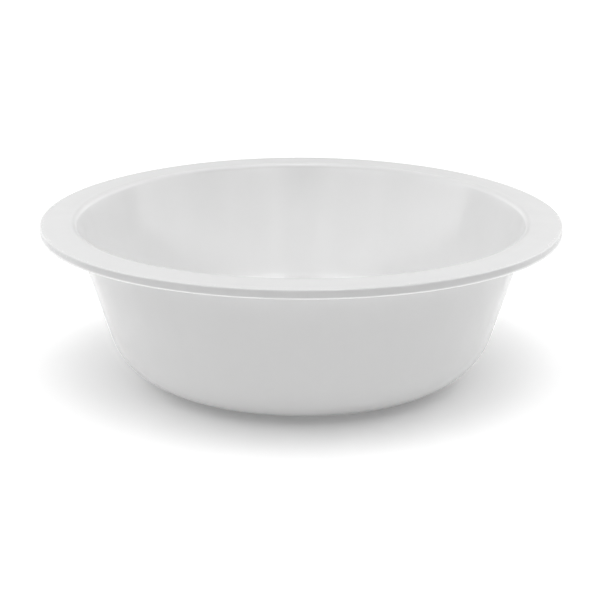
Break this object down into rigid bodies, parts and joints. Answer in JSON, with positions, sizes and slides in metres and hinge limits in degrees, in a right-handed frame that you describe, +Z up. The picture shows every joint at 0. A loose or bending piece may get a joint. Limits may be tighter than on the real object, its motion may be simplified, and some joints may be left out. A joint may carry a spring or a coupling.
{
  "type": "round wash basin",
  "caption": "Round one-piece moulded ward basin: a deep dish with leaning sides, a rounded base corner, a wide flange and a turned-down lip.",
  "frame": {"origin": "on the table, at the centre of the foot ring", "axes": "+Z up, along the dish's axis of symmetry; the dish is the same all the way round, so X and Y are free"},
  "size_m": [0.35, 0.35, 0.1085],
  "materials": {
    "basin_plastic": "white moulded plastic with a satin gloss"
  },
  "bodies": {
    "root": {"basin": "basin_plastic"}
  },
  "joints": []
}
